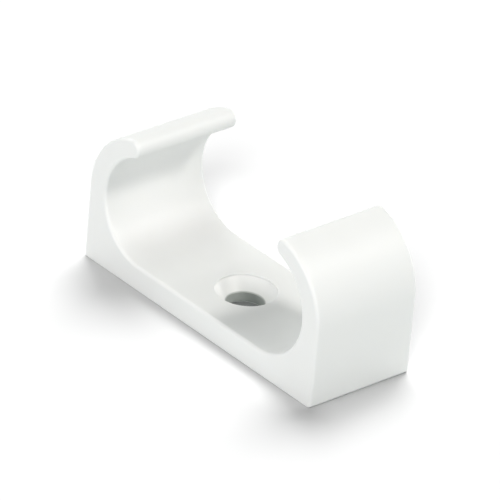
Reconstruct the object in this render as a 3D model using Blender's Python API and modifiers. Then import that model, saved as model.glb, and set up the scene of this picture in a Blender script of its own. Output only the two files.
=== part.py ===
"""White plastic clip for a flat-sided oval conduit, moulded in one piece.

The clip is one constant C section: a thick base, two half-round ends and two lips that
close over the conduit. A countersunk screw hole goes through the middle of the base.
X runs across the channel, Y along the conduit, Z away from the wall.
"""
from math import atan2, cos, pi, radians, sin, tan

import bmesh
import bpy

MM = 0.001

# Channel that holds the conduit
CHANNEL_WIDTH = 32.4 * MM
CHANNEL_END_RADIUS = 6.3 * MM
CLIP_LENGTH = 13.8 * MM

# Base and arms
FLOOR_THICKNESS = 2.9 * MM
SIDE_WALL = 2.7 * MM
OUTER_CENTRE_SHIFT = 0.8 * MM    # thins the arms towards their lips
LIP_ANGLE = radians(70)           # how far each arm wraps over the channel
BASE_CORNER_RADIUS = 0.6 * MM
END_EDGE_RADIUS = 0.4 * MM

# Countersunk screw hole
HOLE_DIAMETER = 4.2 * MM
COUNTERSINK_DIAMETER = 7.0 * MM
COUNTERSINK_SLOPE = radians(45)
RECESS_DEPTH = 0.25 * MM          # short straight wall above the cone
RIM_BREAK = 0.08 * MM             # softened rim of the recess
UNDERSIDE_CHAMFER = 0.3 * MM

# Fineness of the round forms
ARC_STEP = radians(3.5)
EDGE_SEGMENTS = 3
HOLE_STEPS = 64

WELD_DISTANCE = 0.001 * MM
CUTTER_OVERSHOOT = 1.0 * MM
SMOOTH_ANGLE = radians(35)
SQUARE_EDGE_ANGLE = radians(60)

# Places worked out from the sizes above
HALF_WIDTH = CHANNEL_WIDTH / 2 + SIDE_WALL
INNER_CENTRE = (CHANNEL_WIDTH / 2 - CHANNEL_END_RADIUS, FLOOR_THICKNESS + CHANNEL_END_RADIUS)
OUTER_CENTRE = (INNER_CENTRE[0] + OUTER_CENTRE_SHIFT, INNER_CENTRE[1])
OUTER_RADIUS = HALF_WIDTH - OUTER_CENTRE[0]


def clear_scene():
    for old in list(bpy.data.objects):
        bpy.data.objects.remove(old, do_unlink=True)


def new_collection(name):
    collection = bpy.data.collections.new(name)
    bpy.context.scene.collection.children.link(collection)
    return collection


def white_plastic():
    material = bpy.data.materials.new("white_plastic")
    material.use_nodes = True
    shader = material.node_tree.nodes["Principled BSDF"]
    shader.inputs["Base Color"].default_value = (0.86, 0.86, 0.84, 1.0)
    shader.inputs["Roughness"].default_value = 0.32
    shader.inputs["Metallic"].default_value = 0.0
    return material


def arc(centre, radius, start, end):
    """Points along an arc from angle start to angle end, both ends included."""
    steps = max(3, round(abs(end - start) / ARC_STEP))
    angles = [start + (end - start) * i / steps for i in range(steps + 1)]
    return [(centre[0] + radius * cos(a), centre[1] + radius * sin(a)) for a in angles]


def lip_nose():
    """Centre and radius of the lip's round nose, which touches the arm's inner and outer arcs."""
    reach = OUTER_CENTRE_SHIFT * cos(LIP_ANGLE)
    radii_difference = OUTER_RADIUS**2 - CHANNEL_END_RADIUS**2 - OUTER_CENTRE_SHIFT**2
    radius = (radii_difference + 2 * CHANNEL_END_RADIUS * reach) / (
        2 * (OUTER_RADIUS + CHANNEL_END_RADIUS - reach)
    )
    orbit = CHANNEL_END_RADIUS + radius
    centre = (INNER_CENTRE[0] + orbit * cos(LIP_ANGLE), INNER_CENTRE[1] + orbit * sin(LIP_ANGLE))
    return centre, radius


def right_half_outline():
    """Right half of the C: base corner, outer side, lip, then the channel wall down to the floor."""
    corner_centre = (HALF_WIDTH - BASE_CORNER_RADIUS, BASE_CORNER_RADIUS)
    nose_centre, nose_radius = lip_nose()
    outer_end = atan2(nose_centre[1] - OUTER_CENTRE[1], nose_centre[0] - OUTER_CENTRE[0])
    corner = arc(corner_centre, BASE_CORNER_RADIUS, -pi / 2, 0)
    outer = arc(OUTER_CENTRE, OUTER_RADIUS, 0, outer_end)
    nose = arc(nose_centre, nose_radius, outer_end, LIP_ANGLE + pi)
    inner = arc(INNER_CENTRE, CHANNEL_END_RADIUS, LIP_ANGLE, -pi / 2)
    return corner + outer + nose[1:-1] + inner


def c_section():
    right = right_half_outline()
    left = [(-x, z) for x, z in reversed(right)]
    return right + left


def extruded_outline(name, points, thickness):
    """A filled outline in the XZ plane, given thickness along Y and turned into a welded mesh."""
    curve = bpy.data.curves.new(name, "CURVE")
    curve.dimensions = "2D"
    curve.fill_mode = "BOTH"
    curve.extrude = thickness / 2
    spline = curve.splines.new("POLY")
    spline.points.add(len(points) - 1)
    for point, (x, z) in zip(spline.points, points):
        point.co = (x, z, 0, 1)
    spline.use_cyclic_u = True
    guide = bpy.data.objects.new(name + "_outline", curve)
    bpy.context.scene.collection.objects.link(guide)
    guide.rotation_euler = (pi / 2, 0, 0)
    bpy.context.view_layer.update()
    evaluated = guide.evaluated_get(bpy.context.evaluated_depsgraph_get())
    mesh = bpy.data.meshes.new_from_object(evaluated)
    mesh.name = name
    solid = bpy.data.objects.new(name, mesh)
    solid.matrix_world = guide.matrix_world.copy()
    bpy.data.objects.remove(guide, do_unlink=True)
    weld_and_flatten(mesh)
    return solid


def weld_and_flatten(mesh):
    """Welds the loose caps and makes each flat stretch one face."""
    work = bmesh.new()
    work.from_mesh(mesh)
    bmesh.ops.remove_doubles(work, verts=work.verts, dist=WELD_DISTANCE)
    bmesh.ops.dissolve_limit(work, angle_limit=radians(0.1), verts=work.verts, edges=work.edges)
    bmesh.ops.recalc_face_normals(work, faces=work.faces)
    work.to_mesh(mesh)
    work.free()
    mesh.shade_smooth()
    mesh.set_sharp_from_angle(angle=SMOOTH_ANGLE)


def round_end_edges(solid):
    bevel = solid.modifiers.new("end_edges", "BEVEL")
    bevel.width = END_EDGE_RADIUS
    bevel.segments = EDGE_SEGMENTS
    bevel.limit_method = "ANGLE"
    bevel.angle_limit = SQUARE_EDGE_ANGLE


def screw_hole_profile():
    """Half section of the hole cutter, from its top centre down its outer side to its bottom centre."""
    hole_radius = HOLE_DIAMETER / 2
    rim_radius = COUNTERSINK_DIAMETER / 2
    wall_radius = rim_radius - RIM_BREAK
    cone_top_z = FLOOR_THICKNESS - RECESS_DEPTH
    cone_bottom_z = cone_top_z - (wall_radius - hole_radius) * tan(COUNTERSINK_SLOPE)
    above_floor = FLOOR_THICKNESS + CUTTER_OVERSHOOT
    below_base = -CUTTER_OVERSHOOT
    return [
        (0, above_floor),
        (rim_radius + CUTTER_OVERSHOOT, above_floor),
        (wall_radius, FLOOR_THICKNESS - RIM_BREAK),
        (wall_radius, cone_top_z),
        (hole_radius, cone_bottom_z),
        (hole_radius, UNDERSIDE_CHAMFER),
        (hole_radius + UNDERSIDE_CHAMFER + CUTTER_OVERSHOOT, below_base),
        (0, below_base),
    ]


def turned_cutter(name, profile):
    mesh = bpy.data.meshes.new(name)
    vertices = [(radius, 0, z) for radius, z in profile]
    edges = [(i, i + 1) for i in range(len(profile) - 1)]
    mesh.from_pydata(vertices, edges, [])
    cutter = bpy.data.objects.new(name, mesh)
    turn = cutter.modifiers.new("turn", "SCREW")
    turn.axis = "Z"
    turn.steps = HOLE_STEPS
    turn.render_steps = HOLE_STEPS
    turn.use_merge_vertices = True
    turn.merge_threshold = WELD_DISTANCE
    cutter.hide_render = True
    cutter.display_type = "WIRE"
    return cutter


def cut(solid, cutter):
    boolean = solid.modifiers.new(cutter.name, "BOOLEAN")
    boolean.operation = "DIFFERENCE"
    boolean.solver = "EXACT"
    boolean.object = cutter


def build_clip():
    parts = new_collection("conduit_clip")
    cutters = new_collection("cutters")
    clip = extruded_outline("clip_body", c_section(), CLIP_LENGTH)
    clip.data.materials.append(white_plastic())
    parts.objects.link(clip)
    screw_hole = turned_cutter("screw_hole", screw_hole_profile())
    cutters.objects.link(screw_hole)
    round_end_edges(clip)
    cut(clip, screw_hole)


clear_scene()
build_clip()
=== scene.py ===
"""Looks of the white plastic conduit clip: a finer moulding, its material, a pale studio and the camera."""
from math import atan2, cos, pi, radians, sin

import bmesh
import bpy
from mathutils import Matrix, Vector


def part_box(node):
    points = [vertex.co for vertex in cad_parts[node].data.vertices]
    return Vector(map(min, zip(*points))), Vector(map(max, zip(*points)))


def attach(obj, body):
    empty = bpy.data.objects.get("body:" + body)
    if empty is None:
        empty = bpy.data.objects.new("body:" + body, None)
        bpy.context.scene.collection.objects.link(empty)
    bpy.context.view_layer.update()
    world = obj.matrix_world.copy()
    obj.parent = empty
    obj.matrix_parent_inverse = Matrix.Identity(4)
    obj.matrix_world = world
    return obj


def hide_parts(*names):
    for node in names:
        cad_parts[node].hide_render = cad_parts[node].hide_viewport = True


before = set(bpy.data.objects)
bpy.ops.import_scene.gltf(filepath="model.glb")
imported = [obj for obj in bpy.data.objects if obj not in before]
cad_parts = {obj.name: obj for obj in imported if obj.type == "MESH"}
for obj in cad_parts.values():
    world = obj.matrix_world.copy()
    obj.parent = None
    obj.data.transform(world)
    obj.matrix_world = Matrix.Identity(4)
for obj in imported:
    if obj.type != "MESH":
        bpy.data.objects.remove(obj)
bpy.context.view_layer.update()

MM = 0.001

# Section sizes of the moulding that the box can't tell
SIDE_WALL = 2.7 * MM
FLOOR_THICKNESS = 2.9 * MM
CHANNEL_END_RADIUS = 6.3 * MM
OUTER_CENTRE_SHIFT = 0.8 * MM
LIP_ANGLE = radians(70)
BASE_CORNER_RADIUS = 0.4 * MM
LEAST_CORNER_RADIUS = 0.05 * MM
END_EDGE_RADIUS = 0.4 * MM
BASE_EDGE_SHARE = 0.3
BASE_EDGE_FADE = 1.2 * MM
HOLE_DIAMETER = 4.2 * MM
COUNTERSINK_DIAMETER = 7.0 * MM
RECESS_DEPTH = 0.25 * MM
RIM_RADIUS = 0.08 * MM
UNDERSIDE_CHAMFER = 0.3 * MM

# Places worked out from the frame and those sizes
LOW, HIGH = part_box("clip_body")
HALF_WIDTH = (HIGH.x - LOW.x) / 2
HALF_LENGTH = (HIGH.y - LOW.y) / 2
CHANNEL_HALF_WIDTH = HALF_WIDTH - SIDE_WALL
INNER_CENTRE = Vector((CHANNEL_HALF_WIDTH - CHANNEL_END_RADIUS, FLOOR_THICKNESS + CHANNEL_END_RADIUS))
OUTER_CENTRE = INNER_CENTRE + Vector((OUTER_CENTRE_SHIFT, 0))
OUTER_RADIUS = HALF_WIDTH - OUTER_CENTRE.x

# Fineness and shading of the mesh
ARC_STEP = radians(2)
LEAST_ARC_STEPS = 3
EDGE_STEPS = 6
RIM_DEGREES = range(105, 181, 15)
HOLE_STEPS = 128
FLAT_STEP = 0.8 * MM
WELD_DISTANCE = 0.0005 * MM
CUTTER_OVERSHOOT = 1.0 * MM
SHARP_ANGLE = radians(30)
LARGE_FACE_WEIGHT = 100

# White plastic: its two close tones, and the scale and detail of the noise behind each change
PLASTIC_TONES = ((0.880, 0.882, 0.872, 1.0), (0.845, 0.852, 0.842, 1.0))
TONE_NOISE = (90.0, 3.0)
SHEEN_NOISE = (420.0, 4.0)
SHEEN_ROUGHNESS = (0.38, 0.50)
SINK_NOISE = (170.0, 1.0)
SINK_STRENGTH = 0.5
SINK_DEPTH = 0.08 * MM
GRAIN_NOISE = (6500.0, 3.0)
GRAIN_STRENGTH = 0.25
GRAIN_DEPTH = 0.012 * MM
PLASTIC_IOR = 1.52
SUBSURFACE_WEIGHT = 0.12
SUBSURFACE_RADIUS = (1.0, 0.95, 0.85)
SUBSURFACE_SCALE = 0.5 * MM

# The screw hole's wall has painted shade: a darker colour than the moulded faces, so the hole reads as deep
# and shaded
BORE_PAINTED_SHADE = (0.46, 0.48, 0.46, 1.0)
BORE_PAINTED_SHADE_FADE = (0.02 * MM, 0.16 * MM)
WITHOUT_HEIGHT = (1.0, 1.0, 0.0)

# The photograph's view
VIEW_AZIMUTH = radians(47.3)
VIEW_ELEVATION = radians(29.8)
VIEW_ROLL = radians(5.4)
VIEW_DISTANCE = 0.65
VIEW_TARGET = Vector((0, 0, 0.0078))
VIEW_RANGE = (0.01, 20.0)
SENSOR = 36.0
FRAME_PIXELS = 500
CLIP_PIXELS_PER_METRE = 9400

# The studio: its floor and world as they are seen, and as they light the clip
FLOOR_HALF_SIZE = 3.0
FLOOR_SEEN = (0.65, 0.65, 0.65, 1.0)
FLOOR_BOUNCE = (0.39, 0.42, 0.41, 1.0)
# Painted shade: the floor seen through the screw hole is darker, so the hole reads as deep
FLOOR_PAINTED_SHADE_UNDER_HOLE = (0.23, 0.24, 0.235, 1.0)
PAINTED_SHADE_UNDER_HOLE_FADE = (0.4 * MM, 0.6 * MM)
WORLD_SEEN = (1.0, 1.0, 1.0, 1.0)
WORLD_SEEN_STRENGTH = 1.0
WORLD_LIGHT = (0.95, 1.0, 0.98, 1.0)
WORLD_LIGHT_STRENGTH = 0.05

# Lamps: name, azimuth and elevation in degrees, side in metres, power in watts, colour
CLIP_LAMP_DISTANCE = 0.9
CLIP_LAMPS = (
    ("key", 121, 52, 0.14, 3.6, (1.0, 0.98, 0.95)),
    ("above", -90, 80, 0.40, 1.95, (0.95, 1.0, 0.97)),
    ("side", 90, 30, 0.40, 1.45, (1.0, 1.0, 1.0)),
    ("right", 66, 6, 0.40, 1.7, (0.98, 0.99, 1.0)),
    ("front", -5, 9, 0.40, 5.3, (1.0, 0.98, 0.98)),
    ("left", -100, 28, 0.40, 2.9, (0.99, 1.0, 0.99)),
    ("back", 178, 8, 0.40, 2.4, (1.0, 1.0, 0.99)),
)
FLOOR_LAMP_DISTANCE = 2.0
FLOOR_LAMPS = (
    ("floor_high", -138, 60, 1.25, 58.5, (1.0, 1.0, 1.0)),
    ("floor_low", 40, 38, 0.50, 27.0, (1.0, 1.0, 1.0)),
)


def new_object(name, data):
    """An object with this data, put into the scene."""
    item = bpy.data.objects.new(name, data)
    bpy.context.scene.collection.objects.link(item)
    return item


def arc(centre, radius, start, end):
    """Points along an arc from angle start to angle end, both ends included."""
    steps = max(LEAST_ARC_STEPS, round(abs(end - start) / ARC_STEP))
    angles = [start + (end - start) * i / steps for i in range(steps + 1)]
    return [(centre[0] + radius * cos(a), centre[1] + radius * sin(a)) for a in angles]


def lip_nose():
    """Centre and radius of the round nose at the end of each arm."""
    reach = OUTER_CENTRE_SHIFT * cos(LIP_ANGLE)
    radii_difference = OUTER_RADIUS**2 - CHANNEL_END_RADIUS**2 - OUTER_CENTRE_SHIFT**2
    radius = (radii_difference + 2 * CHANNEL_END_RADIUS * reach) / (
        2 * (OUTER_RADIUS + CHANNEL_END_RADIUS - reach)
    )
    orbit = CHANNEL_END_RADIUS + radius
    return INNER_CENTRE + orbit * Vector((cos(LIP_ANGLE), sin(LIP_ANGLE))), radius


def straight(start, end):
    """Points between two ends, ends left out, so that long flats have even faces."""
    start = Vector(start)
    end = Vector(end)
    steps = max(1, round((end - start).length / FLAT_STEP))
    return [tuple(start.lerp(end, i / steps)) for i in range(1, steps)]


def settled(points, inset):
    """Lowers the points near the underside, so that its end edges stay crisper than the rest."""
    drop = inset * (1 - BASE_EDGE_SHARE)
    return [(x, z - drop * max(0, 1 - (z - inset) / BASE_EDGE_FADE)) for x, z in points]


def section(inset):
    """The C section as a closed loop of (x, z), drawn in from its surface by inset."""
    nose_centre, nose_radius = lip_nose()
    outer_end = atan2(nose_centre.y - OUTER_CENTRE.y, nose_centre.x - OUTER_CENTRE.x)
    corner_radius = max(BASE_CORNER_RADIUS - inset, LEAST_CORNER_RADIUS)
    corner_centre = (HALF_WIDTH - inset - corner_radius, inset + corner_radius)
    corner = arc(corner_centre, corner_radius, -pi / 2, 0)
    outer = arc(OUTER_CENTRE, OUTER_RADIUS - inset, 0, outer_end)
    nose = arc(nose_centre, nose_radius - inset, outer_end, LIP_ANGLE + pi)
    inner = arc(INNER_CENTRE, CHANNEL_END_RADIUS + inset, LIP_ANGLE, -pi / 2)
    base_half = straight((0, inset), corner[0])
    floor_half = straight(inner[-1], (0, FLOOR_THICKNESS - inset))
    right = base_half + corner + straight(corner[-1], outer[0]) + outer + nose[1:-1] + inner + floor_half
    left = [(-x, z) for x, z in reversed(right)]
    return settled([(0, inset)] + right + [(0, FLOOR_THICKNESS - inset)] + left, inset)


def rings():
    """(y, inset) of each loop along the clip: a rounded edge, the straight run, a rounded edge."""
    edge = []
    for i in range(EDGE_STEPS + 1):
        angle = i * pi / 2 / EDGE_STEPS
        y = -HALF_LENGTH + END_EDGE_RADIUS * (1 - sin(angle))
        edge.append((y, END_EDGE_RADIUS * (1 - cos(angle))))
    front = list(reversed(edge))
    run = 2 * (HALF_LENGTH - END_EDGE_RADIUS)
    steps = round(run / FLAT_STEP)
    middle = [(-HALF_LENGTH + END_EDGE_RADIUS + run * i / steps, 0) for i in range(1, steps)]
    back = [(-y, inset) for y, inset in edge]
    return front + middle + back


def moulding_mesh():
    """The swept C section with rounded end edges and flat end faces."""
    work = bmesh.new()
    loops = []
    for y, inset in rings():
        loops.append([work.verts.new((x, y, z)) for x, z in section(inset)])
    count = len(loops[0])
    for near_loop, far_loop in zip(loops, loops[1:]):
        for i in range(count):
            j = (i + 1) % count
            work.faces.new((near_loop[i], near_loop[j], far_loop[j], far_loop[i]))
    work.faces.new(list(reversed(loops[0])))
    work.faces.new(loops[-1])
    bmesh.ops.recalc_face_normals(work, faces=work.faces)
    mesh = bpy.data.meshes.new("clip_moulding")
    work.to_mesh(mesh)
    work.free()
    return mesh


def screw_hole_cutter():
    """A turned cutter: underside chamfer, shank hole, countersink, short recess and rounded rim."""
    hole_radius = HOLE_DIAMETER / 2
    wall_radius = COUNTERSINK_DIAMETER / 2 - RIM_RADIUS
    rim_centre = (wall_radius + RIM_RADIUS, FLOOR_THICKNESS - RIM_RADIUS)
    rim = [
        (rim_centre[0] + RIM_RADIUS * cos(angle), rim_centre[1] + RIM_RADIUS * sin(angle))
        for angle in map(radians, RIM_DEGREES)
    ]
    cone_top_z = FLOOR_THICKNESS - RECESS_DEPTH
    above_floor = FLOOR_THICKNESS + CUTTER_OVERSHOOT
    profile = [
        (0, above_floor),
        (rim_centre[0], above_floor),
        *rim,
        (wall_radius, cone_top_z),
        (hole_radius, cone_top_z - (wall_radius - hole_radius)),
        (hole_radius, UNDERSIDE_CHAMFER),
        (hole_radius + UNDERSIDE_CHAMFER + CUTTER_OVERSHOOT, -CUTTER_OVERSHOOT),
        (0, -CUTTER_OVERSHOOT),
    ]
    mesh = bpy.data.meshes.new("screw_hole")
    mesh.from_pydata([(r, 0, z) for r, z in profile], [(i, i + 1) for i in range(len(profile) - 1)], [])
    cutter = new_object("screw_hole", mesh)
    turn = cutter.modifiers.new("turn", "SCREW")
    turn.axis = "Z"
    turn.steps = HOLE_STEPS
    turn.render_steps = HOLE_STEPS
    turn.use_merge_vertices = True
    turn.merge_threshold = WELD_DISTANCE
    return cutter


def applied_mesh(piece):
    """The mesh that a piece's modifiers give."""
    bpy.context.view_layer.update()
    evaluated = piece.evaluated_get(bpy.context.evaluated_depsgraph_get())
    return bpy.data.meshes.new_from_object(evaluated)


def build_moulding():
    """The moulding with its screw hole cut, smooth where it is round and flat where it is flat."""
    clip = new_object("clip_moulding", moulding_mesh())
    cutter = screw_hole_cutter()
    boolean = clip.modifiers.new("screw_hole", "BOOLEAN")
    boolean.operation = "DIFFERENCE"
    boolean.solver = "EXACT"
    boolean.object = cutter
    mesh = applied_mesh(clip)
    clip.modifiers.clear()
    clip.data = mesh
    bpy.data.objects.remove(cutter, do_unlink=True)
    mesh.shade_smooth()
    mesh.set_sharp_from_angle(angle=SHARP_ANGLE)
    weighted = clip.modifiers.new("flat_faces_stay_flat", "WEIGHTED_NORMAL")
    weighted.keep_sharp = True
    weighted.weight = LARGE_FACE_WEIGHT
    return clip


def noise(nodes, links, place, scale, detail):
    """A soft 0 to 1 noise over the object."""
    node = nodes.new("ShaderNodeTexNoise")
    node.inputs["Scale"].default_value = scale
    node.inputs["Detail"].default_value = detail
    links.new(place, node.inputs["Vector"])
    return node.outputs["Fac"]


def ramp(nodes, links, source, low, high):
    """Maps a 0 to 1 value to a range."""
    node = nodes.new("ShaderNodeMapRange")
    node.inputs["To Min"].default_value = low
    node.inputs["To Max"].default_value = high
    links.new(source, node.inputs["Value"])
    return node.outputs["Result"]


def bump(nodes, links, height, strength, depth):
    """A bump of the surface from a 0 to 1 height."""
    node = nodes.new("ShaderNodeBump")
    node.inputs["Strength"].default_value = strength
    node.inputs["Distance"].default_value = depth
    links.new(height, node.inputs["Height"])
    return node


def colour_mix(nodes, links, factor, first):
    """A colour mix that gives its first colour where the factor is 0."""
    node = nodes.new("ShaderNodeMix")
    node.data_type = "RGBA"
    node.inputs["A"].default_value = first
    links.new(factor, node.inputs["Factor"])
    return node


def outside_hole(nodes, links, place, fade_start, fade_end):
    """0 near the axis of the screw hole, 1 outside it, with a fade set from the hole's edge."""
    flat = nodes.new("ShaderNodeVectorMath")
    flat.operation = "MULTIPLY"
    flat.inputs[1].default_value = WITHOUT_HEIGHT
    links.new(place, flat.inputs[0])
    distance = nodes.new("ShaderNodeVectorMath")
    distance.operation = "LENGTH"
    links.new(flat.outputs["Vector"], distance.inputs[0])
    fade = nodes.new("ShaderNodeMapRange")
    fade.interpolation_type = "SMOOTHSTEP"
    fade.inputs["From Min"].default_value = HOLE_DIAMETER / 2 + fade_start
    fade.inputs["From Max"].default_value = HOLE_DIAMETER / 2 + fade_end
    links.new(distance.outputs["Value"], fade.inputs["Value"])
    return fade.outputs["Result"]


def white_plastic():
    """White moulded PVC: faint tone changes, a soft uneven sheen, fine grain, slight sink, and painted
    shade on the screw hole's wall.
    """
    material = bpy.data.materials.new("white_plastic")
    material.use_nodes = True
    nodes = material.node_tree.nodes
    links = material.node_tree.links
    shader = nodes["Principled BSDF"]
    place = nodes.new("ShaderNodeTexCoord").outputs["Object"]

    tone = colour_mix(nodes, links, noise(nodes, links, place, *TONE_NOISE), PLASTIC_TONES[0])
    tone.inputs["B"].default_value = PLASTIC_TONES[1]
    # Painted shade: the screw hole's wall gets a darker colour, fading out just past the hole's edge
    bore_shaded = colour_mix(nodes, links, outside_hole(nodes, links, place, *BORE_PAINTED_SHADE_FADE), BORE_PAINTED_SHADE)
    links.new(tone.outputs["Result"], bore_shaded.inputs["B"])
    links.new(bore_shaded.outputs["Result"], shader.inputs["Base Color"])

    sheen = ramp(nodes, links, noise(nodes, links, place, *SHEEN_NOISE), *SHEEN_ROUGHNESS)
    links.new(sheen, shader.inputs["Roughness"])
    shader.inputs["IOR"].default_value = PLASTIC_IOR
    shader.inputs["Subsurface Weight"].default_value = SUBSURFACE_WEIGHT
    shader.inputs["Subsurface Radius"].default_value = SUBSURFACE_RADIUS
    shader.inputs["Subsurface Scale"].default_value = SUBSURFACE_SCALE

    sink = bump(nodes, links, noise(nodes, links, place, *SINK_NOISE), SINK_STRENGTH, SINK_DEPTH)
    grain = bump(nodes, links, noise(nodes, links, place, *GRAIN_NOISE), GRAIN_STRENGTH, GRAIN_DEPTH)
    links.new(sink.outputs["Normal"], grain.inputs["Normal"])
    links.new(grain.outputs["Normal"], shader.inputs["Normal"])
    return material


def camera_ray_mix(nodes, links, seen, other):
    """One shader for what the camera and reflections see, another for the light it gives."""
    path = nodes.new("ShaderNodeLightPath")
    looks = path.outputs["Is Camera Ray"]
    for ray in ("Is Glossy Ray", "Is Transmission Ray"):
        either = nodes.new("ShaderNodeMath")
        either.operation = "MAXIMUM"
        links.new(looks, either.inputs[0])
        links.new(path.outputs[ray], either.inputs[1])
        looks = either.outputs["Value"]
    mix = nodes.new("ShaderNodeMixShader")
    links.new(looks, mix.inputs["Fac"])
    links.new(other, mix.inputs[1])
    links.new(seen, mix.inputs[2])
    return mix.outputs["Shader"]


def floor_material():
    """Pale floor: white to the camera, with the clip's shadow kept, and painted shade under the screw hole.
    """
    material = bpy.data.materials.new("studio_floor")
    material.use_nodes = True
    nodes = material.node_tree.nodes
    links = material.node_tree.links
    nodes.remove(nodes["Principled BSDF"])
    place = nodes.new("ShaderNodeTexCoord").outputs["Object"]
    # Painted shade under the screw hole, seen only by the camera and in reflections
    tone = colour_mix(nodes, links, outside_hole(nodes, links, place, *PAINTED_SHADE_UNDER_HOLE_FADE), FLOOR_PAINTED_SHADE_UNDER_HOLE)
    tone.inputs["B"].default_value = FLOOR_SEEN
    seen = nodes.new("ShaderNodeBsdfDiffuse")
    links.new(tone.outputs["Result"], seen.inputs["Color"])
    bounce = nodes.new("ShaderNodeBsdfDiffuse")
    bounce.inputs["Color"].default_value = FLOOR_BOUNCE
    result = camera_ray_mix(nodes, links, seen.outputs["BSDF"], bounce.outputs["BSDF"])
    links.new(result, nodes["Material Output"].inputs["Surface"])
    return material


def build_floor():
    """One flat square under the clip."""
    mesh = bpy.data.meshes.new("studio_floor")
    work = bmesh.new()
    bmesh.ops.create_grid(work, x_segments=1, y_segments=1, size=FLOOR_HALF_SIZE)
    work.to_mesh(mesh)
    work.free()
    floor = new_object("studio_floor", mesh)
    floor.data.materials.append(floor_material())
    return floor


def build_world():
    """A world that looks white and gives a faint even light."""
    world = bpy.data.worlds.new("studio")
    bpy.context.scene.world = world
    world.use_nodes = True
    nodes = world.node_tree.nodes
    links = world.node_tree.links
    light = nodes["Background"]
    light.inputs["Color"].default_value = WORLD_LIGHT
    light.inputs["Strength"].default_value = WORLD_LIGHT_STRENGTH
    seen = nodes.new("ShaderNodeBackground")
    seen.inputs["Color"].default_value = WORLD_SEEN
    seen.inputs["Strength"].default_value = WORLD_SEEN_STRENGTH
    result = camera_ray_mix(nodes, links, seen.outputs["Background"], light.outputs["Background"])
    links.new(result, nodes["World Output"].inputs["Surface"])


def direction_to(azimuth, elevation):
    """Unit vector from the clip towards a camera or a lamp, with azimuth 0 in front of the clip."""
    return Vector((sin(azimuth) * cos(elevation), -cos(azimuth) * cos(elevation), sin(elevation)))


def soft_light(name, azimuth, elevation, size, power, colour, distance):
    """A square lamp that faces the clip from a direction in degrees."""
    direction = direction_to(radians(azimuth), radians(elevation))
    data = bpy.data.lights.new(name, "AREA")
    data.shape = "SQUARE"
    data.size = size
    data.energy = power
    data.color = colour
    lamp = new_object(name, data)
    lamp.location = VIEW_TARGET + direction * distance
    lamp.rotation_euler = direction.to_track_quat("Z", "Y").to_euler()
    return lamp


def lights_only(lamp, receiver):
    """Limits a lamp to one object, as a shaded studio lamp would be."""
    group = bpy.data.collections.new(lamp.name + "_lights")
    group.objects.link(receiver)
    lamp.light_linking.receiver_collection = group


def build_lights(clip, floor):
    """Soft lamps for the clip on every side, and two for the floor that lay its shadows."""
    for settings in CLIP_LAMPS:
        lights_only(soft_light(*settings, CLIP_LAMP_DISTANCE), clip)
    for settings in FLOOR_LAMPS:
        lights_only(soft_light(*settings, FLOOR_LAMP_DISTANCE), floor)


def build_camera():
    """A camera at the photograph's angle, closer in and centred on the clip."""
    direction = direction_to(VIEW_AZIMUTH, VIEW_ELEVATION)
    right = Vector((cos(VIEW_AZIMUTH), sin(VIEW_AZIMUTH), 0))
    up = direction.cross(right)
    rolled_right = right * cos(VIEW_ROLL) + up * sin(VIEW_ROLL)
    rolled_up = up * cos(VIEW_ROLL) - right * sin(VIEW_ROLL)
    data = bpy.data.cameras.new("camera")
    data.sensor_width = SENSOR
    data.lens = CLIP_PIXELS_PER_METRE * VIEW_DISTANCE * SENSOR / FRAME_PIXELS
    data.clip_start, data.clip_end = VIEW_RANGE
    camera = new_object("camera", data)
    turned = Matrix((rolled_right, rolled_up, direction)).transposed().to_4x4()
    camera.matrix_world = Matrix.Translation(VIEW_TARGET + direction * VIEW_DISTANCE) @ turned
    bpy.context.scene.camera = camera


clip = build_moulding()
clip.data.materials.clear()
clip.data.materials.append(white_plastic())
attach(clip, "root")
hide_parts("clip_body")
floor = build_floor()
build_world()
build_lights(clip, floor)
build_camera()
bpy.context.scene.view_settings.view_transform = "Standard"
